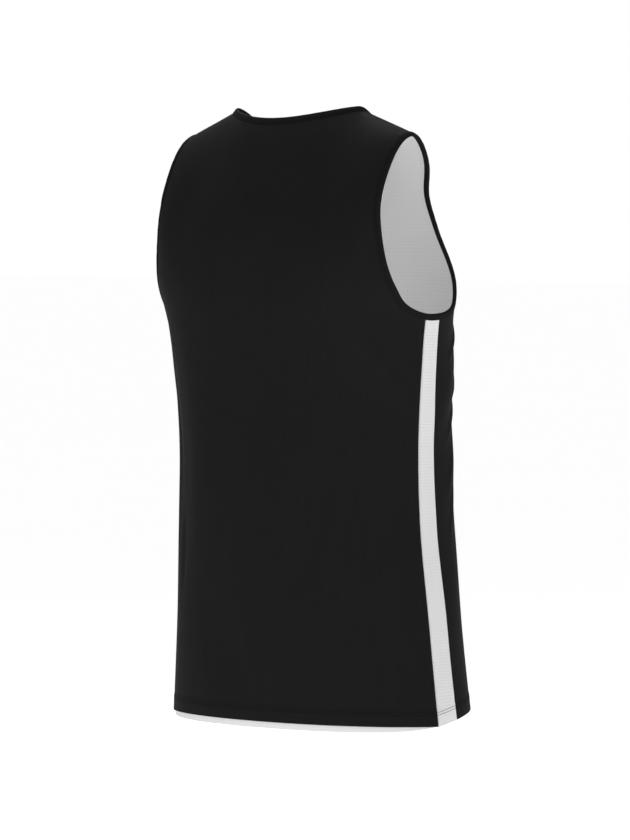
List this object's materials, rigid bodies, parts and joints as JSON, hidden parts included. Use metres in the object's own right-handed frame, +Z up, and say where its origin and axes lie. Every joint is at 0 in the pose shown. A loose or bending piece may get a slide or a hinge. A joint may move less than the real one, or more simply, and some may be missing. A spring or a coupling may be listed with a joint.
{
  "type": "basketball jersey",
  "caption": "Sleeveless reversible basketball jersey, black knit outside with white mesh side strips and a white mesh inner layer, bound round neck and armholes, filled out as worn.",
  "frame": {"origin": "midway between the two neck points, level with the bound edge 5 mm above them, where the wearer's shoulders hold the jersey up", "axes": "+Z up, -Y the way the wearer faces, so the back is at +Y, +X the wearer's left"},
  "size_m": [0.4064, 0.2878, 0.7507],
  "materials": {
    "black_knit": "smooth fine warp-knit polyester, matt with a faint soft sheen",
    "white_mesh": "open eyelet knit in even rows, matt",
    "white_lining": "open eyelet knit in even rows, matt",
    "black_binding": "folded self-fabric strip, matt, with a line of stitching"
  },
  "bodies": {
    "root": {"back_panel": "black_knit", "front_panel": "black_knit", "side_panel_right": "white_mesh", "side_panel_left": "white_mesh", "lining_back": "white_lining", "lining_front": "white_lining", "neck_binding": "black_binding", "armhole_binding_right": "black_binding", "armhole_binding_left": "black_binding"}
  },
  "joints": []
}
